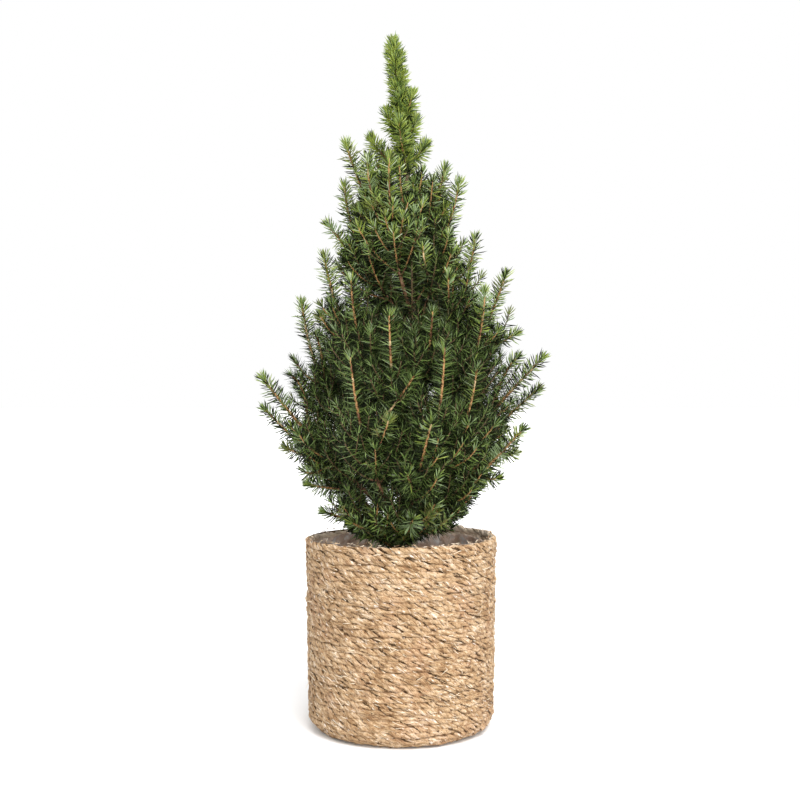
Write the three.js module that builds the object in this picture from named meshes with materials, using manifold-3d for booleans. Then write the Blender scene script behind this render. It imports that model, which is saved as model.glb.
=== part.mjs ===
// A dwarf Alberta spruce growing in a coiled seagrass basket.
// Millimetres, +Z up. The origin is the middle of the basket's flat underside, +X is the plant's right and
// -Y its front. A turn is counted in degrees from +X towards +Y, and a lean in degrees from the vertical.

import * as THREE from 'three';
import Module from 'manifold-3d';

const wasm = await Module();
wasm.setup();

// ---------- Driving dimensions ----------

const GAP = 0.3; // between two pieces that touch

const BASKET = { height: 190, rimRadius: 95, footRadius: 92, wall: 6.3, corner: 17, sides: 32, arcSteps: 4 };
const LINER = { thickness: 0.8, top: 183 };
const SOIL = { level: 165, edgeDrop: 4, moundRadius: 24 };

const TRUNK = {
  footRadius: 7.4,
  tipRadius: 1.3,
  taper: 1.3,
  flare: 3.4, // how far the root flare stands out at the soil
  flareHeight: 9,
  flareRidges: 5,
  ridgeDepth: 0.28, // share of the flare that comes and goes with its ridges
  top: 548, // where the leading shoot takes over
  plantTop: 681,
  lean: -7.5, // how far the tip stands to the left of the foot
  sway: 13,
  depthSway: 2.5,
  sides: 10,
  flareRings: [0, 3, 7, 13, 22, 40], // heights above the soil
  upperSteps: 9,
};

const LIMB = {
  footRadius: 3.1,
  tipRadius: 2.3,
  sides: 6,
  steps: 3,
  bare: 0.27, // share of a bough's path that has no needles
};
const BOW = 0.36; // length of a path's handles, as a share of its chord
const WIDEST_START = 82; // lean of the flattest bough where it leaves the trunk

const SHOOT = {
  rootRadius: 2.3,
  tipRadius: 1.2,
  fork: 44, // angle between a side shoot and the stem that bears it
  upturn: 0.55, // how much of its outer half turns to the vertical
  length: 74, // on the inner part of a bough
  lengthFade: 0.5, // how much of that is lost at the outermost place
  lengthRange: [0.8, 1.15],
  shortest: 24,
  cutBack: 0.88, // one step of shortening, for a shoot that would leave the crown
  inset: 15, // how far its tip stays within the crown's outline
  firstPlace: 0.22, // along its stem
  lastPlace: 0.62,
  placeStep: 8, // stem length per place, finely branched
  bareStart: 0.05, // share of a leafy stem before its first side shoot
  builtPlaces: 3, // one place in so many is built here
};
const GOLDEN_TURN = 137.5;
const RODS = 8; // straight pieces that stand for a curved stem where room is tested

// Each needle built here stands for a spray of them.
const NEEDLE = {
  length: 13.5,
  angle: 50, // from its stem
  tipAngle: 22,
  step: 11.6, // between the rings of a stem
  rootRadius: 1.6,
  edgeRadius: 0.4,
  clearance: 0.3,
};
const CORE_CLEARANCE = 3.6; // between the stems of different shoots
const POT_CLEARANCE = 2; // of a needle's tip

// The crown's outline: height above the underside, and radius.
const CROWN = [
  [192, 61], [214, 76], [250, 100], [300, 129], [345, 138], [372, 129], [400, 106],
  [430, 90], [460, 76], [500, 65], [545, 52], [590, 40], [626, 18], [688, 10],
];

// The main boughs: foot on the trunk, turn, reach of the tip, its height, and its lean there.
const BOUGHS = {
  low_left: [200, 187, 137, 345, 37],
  low_left_rear: [187, 170, 141, 314, 46],
  low_right: [206, 356, 140, 365, 44],
  low_right_rear: [195, 10, 142, 335, 50],
  low_right_front: [184, 345, 122, 295, 42],
  front_low: [186, 284, 113, 303, 45],
  front_left: [197, 243, 103, 364, 10],
  front_right: [212, 295, 95, 373, 3],
  front_right_low: [223, 316, 99, 354, 8],
  right_front: [252, 334, 90, 429, 3],
  left_upright: [234, 173, 101, 421, 7],
  front_middle: [262, 261, 71, 404, 2],
  skirt_left: [176, 180, 76, 212, 72],
  skirt_right: [177, 3, 80, 236, 58],
  skirt_front: [178, 279, 72, 213, 62],
  skirt_front_left: [171, 230, 72, 207, 66],
  skirt_front_right: [174, 318, 52, 222, 56],
  middle_left_front: [292, 226, 69, 439, 3],
  middle_right_front: [318, 299, 62, 409, 8],
  middle_right: [282, 356, 104, 448, 18],
  middle_left: [308, 189, 77, 466, 10],
  upper_right: [330, 4, 75, 486, 9],
  upper_right_front: [378, 350, 59, 539, 14],
  upper_left: [396, 175, 74, 500, 40],
  upper_front: [408, 250, 33, 560, -4],
  upper_left_rear: [418, 163, 60, 541, 4],
  top_left: [446, 186, 55, 578, 18],
  top_right: [452, 14, 46, 558, 16],
};

// Side shoots that turn away from their bough: its name, the share along it where they fork off, and the turn,
// reach, height and lean of their tip.
const OUTWARD_SHOOTS = [
  ['middle_right', 0.52, 360, 115, 390, 58],
  ['low_right', 0.62, 358, 116, 366, 50],
  ['low_left', 0.6, 185, 110, 349, 55],
  ['left_upright', 0.55, 193, 86, 388, 48],
  ['front_left', 0.5, 277, 101, 347, 38],
  ['front_left', 0.4, 264, 108, 306, 46],
  ['front_right_low', 0.42, 307, 106, 303, 52],
  ['low_right_front', 0.5, 328, 94, 283, 56],
  ['front_low', 0.42, 274, 86, 256, 30],
  ['upper_front', 0.3, 218, 41, 560, -3],
  ['upper_front', 0.3, 275, 38, 490, 26],
  ['middle_left_front', 0.3, 262, 50, 406, 6],
  ['middle_right_front', 0.25, 284, 44, 392, 10],
  ['upper_right_front', 0.3, 300, 42, 474, 4],
  ['upper_right', 0.35, 325, 56, 446, 6],
  ['low_left_rear', 0.6, 176, 116, 276, 60],
  ['low_left', 0.42, 195, 98, 254, 62],
  ['low_left_rear', 0.34, 178, 92, 240, 68],
  ['low_right_rear', 0.55, 4, 114, 270, 62],
  ['low_right_rear', 0.4, 352, 96, 247, 64],
];

// The back of the crown, which repeats the front's habit: low boughs first, one golden turn after another.
const REAR = {
  count: 10,
  middleTurn: 90,
  spread: 112,
  firstTip: 222,
  tipStep: 38,
  rise: [34, 165], // height of the tip above the foot, on the lowest and on the highest bough
  lean: [64, 8],
  fullRise: 4, // number of boughs over which rise and lean change
  inset: [0, 7], // how far a tip stays within the crown's outline
};

// A bough has a bare limb when its foot is below this and its path is long enough.
const LIMBED_BELOW = 275;
const SHORTEST_LIMBED = 100;

// Short shoots round the leader: foot, turn, reach, height, lean.
const LEADER_SHOOTS = [
  [596, 330, 12, 628, 8],
  [556, 170, 30, 586, 26],
  [560, 8, 24, 580, 22],
  [566, 262, 14, 600, 6],
  [590, 12, 9, 606, 6],
  [588, 178, 14, 612, 10],
  [578, 352, 14, 603, 12],
];

const COLOURS = {
  basket: 0xc39a66,
  liner: 0xb9b0aa,
  soil: 0x2c2019,
  bark: 0x7d6049,
  needles: 0x2f5a2a,
};

// ---------- Small helpers ----------

const radians = THREE.MathUtils.degToRad;
const degrees = THREE.MathUtils.radToDeg;
const UP = new THREE.Vector3(0, 0, 1);

// A repeatable number from 0 to 1 for a set of whole numbers.
function draw(...keys) {
  let mixed = 2166136261;
  for (const key of keys) mixed = Math.imul(mixed ^ key, 16777619) >>> 0;
  mixed = Math.imul(mixed ^ (mixed >>> 15), 2246822519) >>> 0;
  mixed = Math.imul(mixed ^ (mixed >>> 13), 3266489917) >>> 0;
  return ((mixed ^ (mixed >>> 16)) >>> 0) / 4294967296;
}

function heading(turn, lean) {
  const [t, l] = [radians(turn), radians(lean)];
  return new THREE.Vector3(Math.cos(t) * Math.sin(l), Math.sin(t) * Math.sin(l), Math.cos(l));
}

const along = (from, direction, distance) => from.clone().addScaledVector(direction, distance);

function crownRadius(height) {
  const above = CROWN.findIndex(([z]) => z > height);
  if (above === 0) return CROWN[0][1];
  if (above < 0) return CROWN.at(-1)[1];
  const [[z0, r0], [z1, r1]] = [CROWN[above - 1], CROWN[above]];
  return r0 + ((r1 - r0) * (height - z0)) / (z1 - z0);
}

function solid(positions, triangles) {
  return new wasm.Manifold(
    new wasm.Mesh({
      numProp: 3,
      vertProperties: new Float32Array(positions.flatMap((p) => [p.x, p.y, p.z])),
      triVerts: new Uint32Array(triangles.flat()),
    }),
  );
}

function geometryOf(made) {
  const { vertProperties, triVerts } = made.getMesh();
  return new THREE.BufferGeometry()
    .setAttribute('position', new THREE.BufferAttribute(new Float32Array(vertProperties), 3))
    .setIndex(new THREE.BufferAttribute(new Uint32Array(triVerts), 1));
}

const part = new THREE.Group();

function place(name, geometry, material) {
  geometry.computeVertexNormals();
  const mesh = new THREE.Mesh(geometry, material);
  mesh.name = name;
  part.add(mesh);
}

const finish = (color, roughness) => new THREE.MeshStandardMaterial({ color, roughness, metalness: 0 });
const basketFinish = finish(COLOURS.basket, 0.85);
const linerFinish = finish(COLOURS.liner, 0.35);
const soilFinish = finish(COLOURS.soil, 0.95);
const barkFinish = finish(COLOURS.bark, 0.9);
const needleFinish = finish(COLOURS.needles, 0.5);

// ---------- Basket, liner and soil ----------

// The basket's outer radius at a height on its wall, above the rounded corner.
function basketRadius(height) {
  const share = (height - BASKET.corner) / (BASKET.height - BASKET.corner);
  return BASKET.footRadius + (BASKET.rimRadius - BASKET.footRadius) * share;
}

// Points of a quarter turn in a lathe profile, from one direction to another, in degrees from +X.
function arc(centreX, centreY, radius, from, to, steps) {
  return Array.from({ length: steps + 1 }, (_, i) => {
    const angle = radians(from + ((to - from) * i) / steps);
    return new THREE.Vector2(centreX + radius * Math.cos(angle), centreY + radius * Math.sin(angle));
  });
}

// A LatheGeometry turns about Y, so it is stood up on Z.
const turned = (profile) => new THREE.LatheGeometry(profile, BASKET.sides).rotateX(Math.PI / 2);

// The profile of a cup with a rounded foot, as an offset inwards from the basket's outer face.
function cupFace(inset, floor) {
  const corner = BASKET.corner - inset;
  return [
    new THREE.Vector2(0, floor),
    ...arc(BASKET.footRadius - BASKET.corner, floor + corner, corner, -90, 0, BASKET.arcSteps),
  ];
}

function basketGeometry() {
  const lip = BASKET.wall / 2;
  const rimHeight = BASKET.height - lip;
  const rimMiddle = basketRadius(rimHeight) - lip;
  const middle = BASKET.height / 2;
  return turned([
    ...cupFace(0, 0),
    new THREE.Vector2(basketRadius(middle), middle),
    ...arc(rimMiddle, rimHeight, lip, 0, 180, BASKET.arcSteps),
    new THREE.Vector2(basketRadius(middle) - BASKET.wall, middle),
    ...cupFace(BASKET.wall, BASKET.wall).reverse(),
  ]);
}

function linerGeometry() {
  const outside = BASKET.wall + GAP;
  const inside = outside + LINER.thickness;
  return turned([
    ...cupFace(outside, outside),
    new THREE.Vector2(basketRadius(LINER.top) - outside, LINER.top),
    new THREE.Vector2(basketRadius(LINER.top) - inside, LINER.top),
    ...cupFace(inside, inside).reverse(),
  ]);
}

function soilGeometry() {
  const inset = BASKET.wall + LINER.thickness + 2 * GAP;
  const edge = SOIL.level - SOIL.edgeDrop;
  return turned([
    ...cupFace(inset, inset),
    new THREE.Vector2(basketRadius(edge) - inset, edge),
    new THREE.Vector2(SOIL.moundRadius, SOIL.level),
    new THREE.Vector2(0, SOIL.level),
  ]);
}

place('basket', basketGeometry(), basketFinish);
place('liner', linerGeometry(), linerFinish);
place('soil', soilGeometry(), soilFinish);

// ---------- Trunk ----------

const TRUNK_FOOT = SOIL.level + GAP;

function trunkAxis(height) {
  const share = (height - TRUNK_FOOT) / (TRUNK.plantTop - TRUNK_FOOT);
  return new THREE.Vector3(
    TRUNK.lean * share ** 2 + TRUNK.sway * Math.sin(Math.PI * share),
    TRUNK.depthSway * Math.sin(2 * Math.PI * share),
    height,
  );
}

function trunkRadius(height) {
  const share = (height - TRUNK_FOOT) / (TRUNK.plantTop - TRUNK_FOOT);
  return TRUNK.tipRadius + (TRUNK.footRadius - TRUNK.tipRadius) * (1 - share) ** TRUNK.taper;
}

function rootFlare(height, turn) {
  const fade = Math.exp(-(height - TRUNK_FOOT) / TRUNK.flareHeight);
  return TRUNK.flare * fade * (1 - TRUNK.ridgeDepth + TRUNK.ridgeDepth * Math.cos(TRUNK.flareRidges * turn));
}

// Joins rings of equal count into one closed skin.
function skin(rings) {
  const sides = rings[0].length;
  const last = (rings.length - 1) * sides;
  const triangles = [];
  for (let k = 0; k < rings.length - 1; k += 1) {
    for (let j = 0; j < sides; j += 1) {
      const [a, b] = [k * sides + j, k * sides + ((j + 1) % sides)];
      triangles.push([a, b, b + sides], [a, b + sides, a + sides]);
    }
  }
  for (let j = 1; j < sides - 1; j += 1) triangles.push([0, j + 1, j], [last, last + j, last + j + 1]);
  return solid(rings.flat(), triangles);
}

// The trunk, or with a margin the room that boughs and shoots leave for it.
function trunkSolid(margin = 0) {
  const lowest = TRUNK.flareRings.map((rise) => TRUNK_FOOT + rise);
  const start = lowest.at(-1);
  const step = (TRUNK.top - start) / TRUNK.upperSteps;
  const upper = Array.from({ length: TRUNK.upperSteps }, (_, i) => start + step * (i + 1));
  return skin(
    [...lowest, ...upper].map((height) =>
      Array.from({ length: TRUNK.sides }, (_, j) => {
        const turn = (2 * Math.PI * j) / TRUNK.sides;
        const radius = trunkRadius(height) + rootFlare(height, turn) + margin;
        return along(trunkAxis(height), heading(degrees(turn), 90), radius);
      }),
    ),
  );
}

place('trunk', geometryOf(trunkSolid()), barkFinish);
const trunkRoom = trunkSolid(GAP);

// ---------- Paths of boughs and shoots ----------

// A curve from a start to a tip, with its lean at the tip and a direction at the start that goes by its chord.
function curveTo(start, [turn, reach, tip, lean], startHeading) {
  const end = along(new THREE.Vector3(0, 0, tip), heading(turn, 90), reach);
  const chord = end.clone().sub(start);
  const chordTurn = degrees(Math.atan2(chord.y, chord.x));
  const handle = BOW * chord.length();
  return new THREE.CubicBezierCurve3(
    start,
    along(start, startHeading(chord, chordTurn), handle),
    along(end, heading(chordTurn, lean), -handle),
    end,
  );
}

const boughPath = ([foot, ...tip]) => curveTo(trunkAxis(foot), tip, (chord, chordTurn) => {
  const chordLean = degrees(Math.atan2(Math.hypot(chord.x, chord.y), chord.z));
  return heading(chordTurn, Math.min(2 * chordLean - tip.at(-1), WIDEST_START));
});

const outwardPath = (stem, at, tip) => curveTo(stem.getPoint(at), tip, (chord) =>
  stem.getTangent(at).add(chord.clone().normalize()).normalize());

// The boughs at the back, from the same sizes as those that are listed.
function rearBoughs() {
  const rows = {};
  for (let i = 0; i < REAR.count; i += 1) {
    const swing = ((((i * GOLDEN_TURN) % 360) / 360) - 0.5) * REAR.spread;
    const tip = REAR.firstTip + REAR.tipStep * i;
    const share = Math.min(i / REAR.fullRise, 1);
    const rise = THREE.MathUtils.lerp(...REAR.rise, share);
    const lean = THREE.MathUtils.lerp(...REAR.lean, share);
    const inset = THREE.MathUtils.lerp(...REAR.inset, draw(i, 7));
    rows[`rear_${i + 1}`] = [tip - rise, REAR.middleTurn + swing, crownRadius(tip) - inset, tip, lean];
  }
  return rows;
}

// Side shoots of a stem. Each is a path, with the share along the stem where it forks off.
function sideShoots(stem, key) {
  const places = Math.round(stem.getLength() / SHOOT.placeStep);
  const shoots = [];
  for (let i = 1; i < places; i += SHOOT.builtPlaces) {
    const share = i / places;
    const at = SHOOT.firstPlace + (SHOOT.lastPlace - SHOOT.firstPlace) * share;
    const root = stem.getPoint(at);
    const forward = stem.getTangent(at);
    const level = new THREE.Vector3(-forward.y, forward.x, 0).normalize();
    const across = level.clone().cross(forward);
    const roll = radians(GOLDEN_TURN * i + 360 * draw(key, 0));
    const side = level.multiplyScalar(Math.cos(roll)).addScaledVector(across, Math.sin(roll));
    const start = forward.multiplyScalar(Math.cos(radians(SHOOT.fork)))
      .addScaledVector(side, Math.sin(radians(SHOOT.fork)));
    const end = start.clone().lerp(UP, SHOOT.upturn).normalize();
    let length = SHOOT.length * (1 - SHOOT.lengthFade * share)
      * THREE.MathUtils.lerp(...SHOOT.lengthRange, draw(key, i));
    for (; length >= SHOOT.shortest; length *= SHOOT.cutBack) {
      const middle = along(root, start, length / 2);
      const tip = along(middle, end, length / 2);
      if (Math.hypot(tip.x, tip.y) > crownRadius(tip.z) - SHOOT.inset || tip.z < CROWN[0][0]) continue;
      shoots.push({ path: new THREE.QuadraticBezierCurve3(root, middle, tip), at });
      break;
    }
  }
  return shoots;
}

// ---------- Space that the plant already fills, as tapering rods ----------

const rods = [];

// Shortest distance between the axes of two rods, less their radii there.
function clearBetween(p, q) {
  const [u, v, w] = [p.b.clone().sub(p.a), q.b.clone().sub(q.a), p.a.clone().sub(q.a)];
  const [a, b, c, d, e] = [u.dot(u), u.dot(v), v.dot(v), u.dot(w), v.dot(w)];
  const det = a * c - b * b;
  let s = det > 1e-9 ? THREE.MathUtils.clamp((b * e - c * d) / det, 0, 1) : 0;
  const t = THREE.MathUtils.clamp((b * s + e) / c, 0, 1);
  s = THREE.MathUtils.clamp((b * t - d) / a, 0, 1);
  const distance = along(p.a, u, s).distanceTo(along(q.a, v, t));
  return distance - THREE.MathUtils.lerp(p.ra, p.rb, s) - THREE.MathUtils.lerp(q.ra, q.rb, t);
}

function isClear(rod, room, mayTouch) {
  const middle = rod.a.clone().lerp(rod.b, 0.5);
  const reach = rod.a.distanceTo(rod.b) / 2 + rod.ra + room;
  return rods.every((other) => {
    other.middle ??= other.a.clone().lerp(other.b, 0.5);
    other.reach ??= other.a.distanceTo(other.b) / 2 + other.ra;
    return middle.distanceTo(other.middle) > reach + other.reach || mayTouch(other) ||
      clearBetween(rod, other) > room;
  });
}

// A path from one share of its length to another, cut into rods.
function rodsAlong(path, from, to, radiusAt, owner) {
  return Array.from({ length: RODS }, (_, i) => {
    const [s, t] = [i / RODS, (i + 1) / RODS];
    return {
      a: path.getPoint(from + (to - from) * s),
      b: path.getPoint(from + (to - from) * t),
      ra: radiusAt(s),
      rb: radiusAt(t),
      owner,
    };
  });
}

// Whether a point is above the pot, or in the space above its soil.
function clearsPot(point) {
  if (point.z > BASKET.height + POT_CLEARANCE) return true;
  const inside = basketRadius(point.z) - BASKET.wall - LINER.thickness - GAP;
  return point.z > SOIL.level + POT_CLEARANCE && Math.hypot(point.x, point.y) < inside - POT_CLEARANCE;
}

// ---------- Limbs and needled shoots ----------

// Points on a path with axes across it that don't twist.
function framesAlong(path, from, to, steps) {
  const first = path.getTangent(from);
  let across = new THREE.Vector3(first.z, 0, -first.x);
  return Array.from({ length: steps + 1 }, (_, k) => {
    const t = from + ((to - from) * k) / steps;
    const forward = path.getTangent(t);
    across = along(across, forward, -across.dot(forward)).normalize();
    return { point: path.getPoint(t), forward, across, level: forward.clone().cross(across) };
  });
}

const ringPoint = ({ point, across, level }, angle, radius) =>
  along(along(point, across, radius * Math.cos(angle)), level, radius * Math.sin(angle));

// A limb from the trunk's axis outwards.
function limbSolid(path, to) {
  return skin(
    framesAlong(path, 0, to, LIMB.steps).map((frame, k) =>
      Array.from({ length: LIMB.sides }, (_, j) =>
        ringPoint(frame, (2 * Math.PI * j) / LIMB.sides, limbRadius(k / LIMB.steps))),
    ),
  );
}

const limbRadius = (share) => THREE.MathUtils.lerp(LIMB.footRadius, LIMB.tipRadius, share);
const shootRadius = (share) => THREE.MathUtils.lerp(SHOOT.rootRadius, SHOOT.tipRadius, share);

// A three-sided stem whose rings turn a sixth each, with a needle drawn out of every forward triangle that
// has room for one. The needle is a three-sided spike, and the stem ends in a point.
function needledShoot(shoot) {
  const { path, from, owner, bareSteps } = shoot;
  const length = path.getLength() * (1 - from);
  const steps = Math.max(3, Math.round(length / NEEDLE.step));
  const frames = framesAlong(path, from, 1, steps);
  const points = [];
  const triangles = [];
  for (let k = 0; k < steps; k += 1) {
    for (let j = 0; j < 3; j += 1) {
      points.push(ringPoint(frames[k], (Math.PI / 3) * (2 * j + k), shootRadius(k / steps)));
    }
  }
  const apex = points.push(frames[steps].point) - 1;
  const needle = (corners, k, angleFromStem) => {
    const root = corners.reduce((sum, i) => sum.add(points[i]), new THREE.Vector3()).divideScalar(3);
    const { point, forward } = frames[k];
    const outward = root.clone().sub(point);
    outward.addScaledVector(forward, -outward.dot(forward)).normalize();
    const tip = along(
      along(root, forward, NEEDLE.length * Math.cos(radians(angleFromStem))),
      outward,
      NEEDLE.length * Math.sin(radians(angleFromStem)),
    );
    const edges = [root, ...corners.map((i) => points[i])]
      .map((a) => ({ a, b: tip, ra: a === root ? NEEDLE.rootRadius : NEEDLE.edgeRadius, rb: 0, owner }));
    const fits = edges.every((rod) => isClear(rod, NEEDLE.clearance, (other) => other.owner === owner));
    if (!fits || !clearsPot(tip)) {
      triangles.push(corners);
      return;
    }
    rods.push(...edges);
    const [a, b, c] = corners;
    const d = points.push(tip) - 1;
    triangles.push([a, b, d], [b, c, d], [c, a, d]);
  };
  triangles.push([0, 2, 1]);
  for (let k = 0; k < steps - 1; k += 1) {
    const angle = k < steps - 2 ? NEEDLE.angle : (NEEDLE.angle + NEEDLE.tipAngle) / 2;
    for (let j = 0; j < 3; j += 1) {
      const [a, b] = [3 * k + j, 3 * k + ((j + 1) % 3)];
      triangles.push([b, b + 3, a + 3]);
      if (k < bareSteps) triangles.push([a, b, a + 3]);
      else needle([a, b, a + 3], k, angle);
    }
  }
  const crown = 3 * (steps - 1);
  for (let j = 0; j < 3; j += 1) needle([crown + j, crown + ((j + 1) % 3), apex], steps - 1, NEEDLE.tipAngle);
  return solid(points, triangles);
}

// ---------- The whole crown ----------

const trunkHeight = (t) => THREE.MathUtils.lerp(TRUNK_FOOT, TRUNK.top, t);
const trunkPath = { getPoint: (t) => trunkAxis(trunkHeight(t)) };
rods.push(...rodsAlong(trunkPath, 0, 1, (t) => trunkRadius(trunkHeight(t)), 'trunk'));

const masses = [];
let owners = 0;

// Adds a leafy stem to a mass, from a share of its path to its tip.
function addShoot(mass, path, from, bareSteps) {
  const owner = (owners += 1);
  mass.shoots.push({ path, from, owner, bareSteps });
  rods.push(...rodsAlong(path, from, 1, shootRadius, owner));
}

function startMass(name) {
  const mass = { name, key: masses.length + 1, shoots: [] };
  masses.push(mass);
  return mass;
}

function addBough(name, row) {
  const path = boughPath(row);
  const limbed = row[0] < LIMBED_BELOW && path.getLength() > SHORTEST_LIMBED;
  if (limbed) {
    const end = LIMB.bare - GAP / path.getLength();
    place(`bough_${name}`, geometryOf(limbSolid(path, end).subtract(trunkRoom)), barkFinish);
    rods.push(...rodsAlong(path, 0, end, limbRadius, name));
  }
  addShoot(startMass(name), path, limbed ? LIMB.bare : 0, limbed ? 0 : 1);
}

for (const [name, row] of Object.entries({ ...BOUGHS, ...rearBoughs() })) addBough(name, row);

// Side shoots go where their stems keep clear of all others.
function addSideShoots(mass) {
  const [stem] = mass.shoots;
  const outward = OUTWARD_SHOOTS.filter(([name]) => name === mass.name)
    .map(([, at, ...tip]) => ({ path: outwardPath(stem.path, at, tip), at }));
  for (const { path, at } of [...outward, ...sideShoots(stem.path, mass.key)]) {
    if (at < stem.from + SHOOT.bareStart) continue;
    const fits = rodsAlong(path, 0, 1, shootRadius).every((rod, i) =>
      isClear(rod, CORE_CLEARANCE, (other) => i < RODS / 2 && other.owner === stem.owner));
    if (fits) addShoot(mass, path, 0, 1);
  }
}

// The leader goes on from the trunk's top, with short shoots round it.
const topOfTrunk = trunkAxis(TRUNK.top + GAP);
const tipOfLeader = trunkAxis(TRUNK.plantTop);
const middleOfLeader = trunkAxis((topOfTrunk.z + tipOfLeader.z) / 2);
const leaderPath = new THREE.QuadraticBezierCurve3(topOfTrunk, middleOfLeader, tipOfLeader);

const boughMasses = [...masses];
const leader = startMass('leader');
addShoot(leader, leaderPath, 0, 0);
for (const row of LEADER_SHOOTS) addShoot(leader, boughPath(row), 0, 1);
boughMasses.forEach(addSideShoots);

for (const { name, shoots } of masses) {
  const fused = shoots.map(needledShoot).reduce((sum, shoot) => sum.add(shoot));
  place(`foliage_${name}`, geometryOf(fused.subtract(trunkRoom)), needleFinish);
}

export default part;
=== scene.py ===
"""The looks of a dwarf Alberta spruce that grows in a coiled seagrass basket.

Blender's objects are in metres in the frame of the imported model: the origin is the middle of the basket's
flat underside, +X is the plant's right and -Y its front. Sizes and places below are in millimetres, and Piece
turns them into metres. A turn is counted in degrees from +X towards +Y, and a lean in degrees from the
vertical.
"""

import math

import bpy
import numpy as np
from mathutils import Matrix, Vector, noise


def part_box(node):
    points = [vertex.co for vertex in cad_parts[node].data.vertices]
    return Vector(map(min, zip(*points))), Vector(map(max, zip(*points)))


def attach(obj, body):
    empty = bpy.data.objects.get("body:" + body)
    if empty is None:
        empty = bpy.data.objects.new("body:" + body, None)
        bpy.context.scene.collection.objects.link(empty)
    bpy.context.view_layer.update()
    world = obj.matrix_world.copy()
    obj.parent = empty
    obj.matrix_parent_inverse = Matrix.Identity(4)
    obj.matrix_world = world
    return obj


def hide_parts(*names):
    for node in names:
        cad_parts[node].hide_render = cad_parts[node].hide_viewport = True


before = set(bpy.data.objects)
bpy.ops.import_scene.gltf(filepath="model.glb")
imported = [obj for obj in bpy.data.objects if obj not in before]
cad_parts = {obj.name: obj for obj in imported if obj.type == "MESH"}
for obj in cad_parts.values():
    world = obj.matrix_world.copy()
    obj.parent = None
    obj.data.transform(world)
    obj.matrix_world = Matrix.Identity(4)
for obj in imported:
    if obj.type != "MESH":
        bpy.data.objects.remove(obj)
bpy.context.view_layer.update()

MM = 0.001
UP = np.array([0.0, 0.0, 1.0])
GOLDEN_TURN = 137.5

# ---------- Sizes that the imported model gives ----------


def node_box(name):
    """A node's lowest and highest corner, in millimetres."""
    low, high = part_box(name)
    return np.array(low) / MM, np.array(high) / MM


BASKET_HEIGHT = node_box("basket")[1][2]
RIM_RADIUS = node_box("basket")[1][0]
TRUNK_FOOT = node_box("trunk")[0][2]
TRUNK_TOP = node_box("trunk")[1][2]
SOIL_LEVEL = node_box("soil")[1][2]

# ---------- The plant's own sizes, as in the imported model's rule ----------

PLANT_TOP = 681
TRUNK_LEAN = -7.5  # how far the tip stands to the left of the foot
TRUNK_SWAY = 13
TRUNK_DEPTH_SWAY = 2.5
TRUNK_FOOT_RADIUS = 7.4
TRUNK_TIP_RADIUS = 1.3
TRUNK_TAPER = 1.3
FLARE = 3.4  # how far the root flare stands out at the soil
FLARE_HEIGHT = 9
FLARE_RIDGES = 5
RIDGE_DEPTH = 0.28  # share of the flare that comes and goes with its ridges

BOW = 0.36  # length of a path's handles, as a share of its chord
WIDEST_START = 82  # lean of the flattest bough where it leaves the trunk
LIMBED_BELOW = 275  # a bough that starts lower, and isn't short, has a bare limb at its foot
SHORTEST_LIMBED = 100
BARE_LIMB = 0.27  # that limb's share of its bough

FORK = 44  # angle between a side shoot and the bough that bears it
UPTURN = 0.55  # how much of its outer half turns to the vertical
SHOOT_LENGTH = 74  # on the inner part of a bough
LENGTH_FADE = 0.5  # how much of that is lost at the outermost place
LENGTH_RANGE = (0.8, 1.15)
SHORTEST_SHOOT = 24
CUT_BACK = 0.88  # one step of shortening, for a shoot that would leave the crown
FIRST_PLACE = 0.22  # along its bough
LAST_PLACE = 0.62
PLACE_STEP = 8  # length of bough per place
BARE_START = 0.05  # how far past a bare limb the first one may fork off

# The crown's outline: height and radius.
CROWN = (
    (192, 61), (214, 76), (250, 100), (300, 129), (345, 138), (372, 129), (400, 106),
    (430, 90), (460, 76), (500, 65), (545, 52), (590, 40), (626, 18), (688, 10),
)
SHOOT_INSET = 15  # how far a side shoot's tip stays inside that outline

# Foot on the trunk, turn, reach of the tip, its height, and its lean there.
BOUGHS = {
    "low_left": (200, 187, 137, 345, 37),
    "low_left_rear": (187, 170, 141, 314, 46),
    "low_right": (206, 356, 140, 365, 44),
    "low_right_rear": (195, 10, 142, 335, 50),
    "low_right_front": (184, 345, 122, 295, 42),
    "front_low": (186, 284, 113, 303, 45),
    "front_left": (197, 243, 103, 364, 10),
    "front_right": (212, 295, 95, 373, 3),
    "front_right_low": (223, 316, 99, 354, 8),
    "right_front": (252, 334, 90, 429, 3),
    "left_upright": (234, 173, 101, 421, 7),
    "front_middle": (262, 261, 71, 404, 2),
    "skirt_left": (176, 180, 76, 212, 72),
    "skirt_right": (177, 3, 80, 236, 58),
    "skirt_front": (178, 279, 72, 213, 62),
    "skirt_front_left": (171, 230, 72, 207, 66),
    "skirt_front_right": (174, 318, 52, 222, 56),
    "middle_left_front": (292, 226, 69, 439, 3),
    "middle_right_front": (318, 299, 62, 409, 8),
    "middle_right": (282, 356, 104, 448, 18),
    "middle_left": (308, 189, 77, 466, 10),
    "upper_right": (330, 4, 75, 486, 9),
    "upper_right_front": (378, 350, 59, 539, 14),
    "upper_left": (396, 175, 74, 500, 40),
    "upper_front": (408, 250, 33, 560, -4),
    "upper_left_rear": (418, 163, 60, 541, 4),
    "top_left": (446, 186, 55, 578, 18),
    "top_right": (452, 14, 46, 558, 16),
}

# The boughs at the back, which climb by a step each. A pair is for the lowest one and the full ones.
REAR_COUNT = 10
REAR_TURN = 90
REAR_SPREAD = 112
REAR_FIRST_TIP = 222
REAR_TIP_STEP = 38
REAR_RISE = (34, 165)
REAR_LEAN = (64, 8)
REAR_FULL_RISE = 4
REAR_INSET = (0, 7)

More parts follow.
